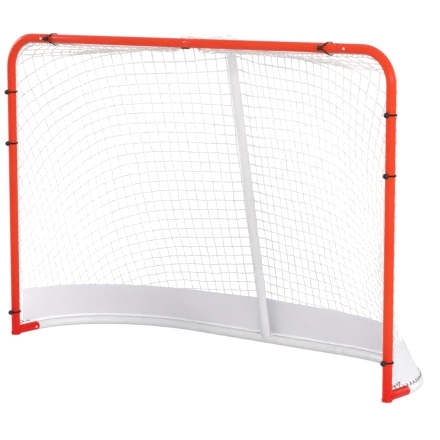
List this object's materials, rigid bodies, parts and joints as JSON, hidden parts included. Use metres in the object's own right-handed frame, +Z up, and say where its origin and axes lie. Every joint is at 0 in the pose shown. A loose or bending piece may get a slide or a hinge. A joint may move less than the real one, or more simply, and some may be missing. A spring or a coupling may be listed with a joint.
{
  "type": "street hockey goal",
  "caption": "Freestanding street hockey goal: a knock-down frame of bent steel tubes with a laced square-mesh net, a fabric skirt along the base and ball ties.",
  "frame": {"origin": "on the ground, under the centre of the whole goal's box", "axes": "+X to the right along the crossbar as seen from in front of the mouth, +Y from the mouth back to the rear rail, +Z up"},
  "size_m": [1.8396, 0.5666, 1.2248],
  "materials": {
    "red_paint": "glossy powder coat",
    "white_paint": "glossy powder coat",
    "black_plastic": "moulded, slight sheen",
    "black_elastic": "braided elastic cord",
    "spring_steel": "plated",
    "net_twine": "white braided twine",
    "skirt_fabric": "woven, matt"
  },
  "bodies": {
    "frame": {"post_left": "red_paint", "post_right": "red_paint", "crossbar_left": "red_paint", "crossbar_right": "red_paint", "foot_socket_left": "red_paint", "foot_socket_right": "red_paint", "foot_cap_left": "red_paint", "foot_cap_right": "red_paint", "base_side_left": "white_paint", "base_side_right": "white_paint", "base_rear": "white_paint", "brace_socket": "white_paint", "brace_tube": "white_paint", "brace_saddle": "black_plastic", "saddle_bolt": "spring_steel", "button_spring_crossbar_center": "spring_steel", "button_spring_crossbar_left": "spring_steel", "button_spring_crossbar_right": "spring_steel", "button_spring_foot_left": "spring_steel", "button_spring_foot_right": "spring_steel", "button_spring_rear_left": "spring_steel", "button_spring_rear_right": "spring_steel", "button_spring_brace": "spring_steel", "net": "net_twine", "net_border_rope": "net_twine", "skirt": "skirt_fabric", "skirt_hem": "skirt_fabric", "tie_ball_post_left_upper": "black_plastic", "tie_ball_post_left_middle": "black_plastic", "tie_ball_post_left_lower": "black_plastic", "tie_ball_post_right_upper": "black_plastic", "tie_ball_post_right_middle": "black_plastic", "tie_ball_post_right_lower": "black_plastic", "tie_ball_crossbar_left": "black_plastic", "tie_ball_crossbar_right": "black_plastic", "tie_cord_post_left_upper": "black_elastic", "tie_cord_post_left_middle": "black_elastic", "tie_cord_post_left_lower": "black_elastic", "tie_cord_post_right_upper": "black_elastic", "tie_cord_post_right_middle": "black_elastic", "tie_cord_post_right_lower": "black_elastic", "tie_cord_crossbar_left": "black_elastic", "tie_cord_crossbar_right": "black_elastic"},
    "button_crossbar_center": {"snap_button_crossbar_center": "spring_steel"},
    "button_crossbar_left": {"snap_button_crossbar_left": "spring_steel"},
    "button_crossbar_right": {"snap_button_crossbar_right": "spring_steel"},
    "button_foot_left": {"snap_button_foot_left": "spring_steel"},
    "button_foot_right": {"snap_button_foot_right": "spring_steel"},
    "button_rear_left": {"snap_button_rear_left": "spring_steel"},
    "button_rear_right": {"snap_button_rear_right": "spring_steel"},
    "button_brace": {"snap_button_brace": "spring_steel"}
  },
  "joints": [
    {"name": "press_crossbar_center", "type": "slide", "parent": "frame", "child": "button_crossbar_center", "axis": [0, -1, 0], "range_m": [0, 0.0055], "stiffness_N_per_m": 1500, "springref_m": -0.003},
    {"name": "press_crossbar_left", "type": "slide", "parent": "frame", "child": "button_crossbar_left", "axis": [0, 1, 0], "range_m": [0, 0.0055], "stiffness_N_per_m": 1500, "springref_m": -0.003},
    {"name": "press_crossbar_right", "type": "slide", "parent": "frame", "child": "button_crossbar_right", "axis": [0, 1, 0], "range_m": [0, 0.0055], "stiffness_N_per_m": 1500, "springref_m": -0.003},
    {"name": "press_foot_left", "type": "slide", "parent": "frame", "child": "button_foot_left", "axis": [-1, 0, 0], "range_m": [0, 0.0055], "stiffness_N_per_m": 1500, "springref_m": -0.003},
    {"name": "press_foot_right", "type": "slide", "parent": "frame", "child": "button_foot_right", "axis": [1, 0, 0], "range_m": [0, 0.0055], "stiffness_N_per_m": 1500, "springref_m": -0.003},
    {"name": "press_rear_left", "type": "slide", "parent": "frame", "child": "button_rear_left", "axis": [0, 1, 0], "range_m": [0, 0.0055], "stiffness_N_per_m": 1500, "springref_m": -0.003},
    {"name": "press_rear_right", "type": "slide", "parent": "frame", "child": "button_rear_right", "axis": [0, 1, 0], "range_m": [0, 0.0055], "stiffness_N_per_m": 1500, "springref_m": -0.003},
    {"name": "press_brace", "type": "slide", "parent": "frame", "child": "button_brace", "axis": [0, 0.98, 0.199], "range_m": [0, 0.0055], "stiffness_N_per_m": 1500, "springref_m": -0.003}
  ]
}
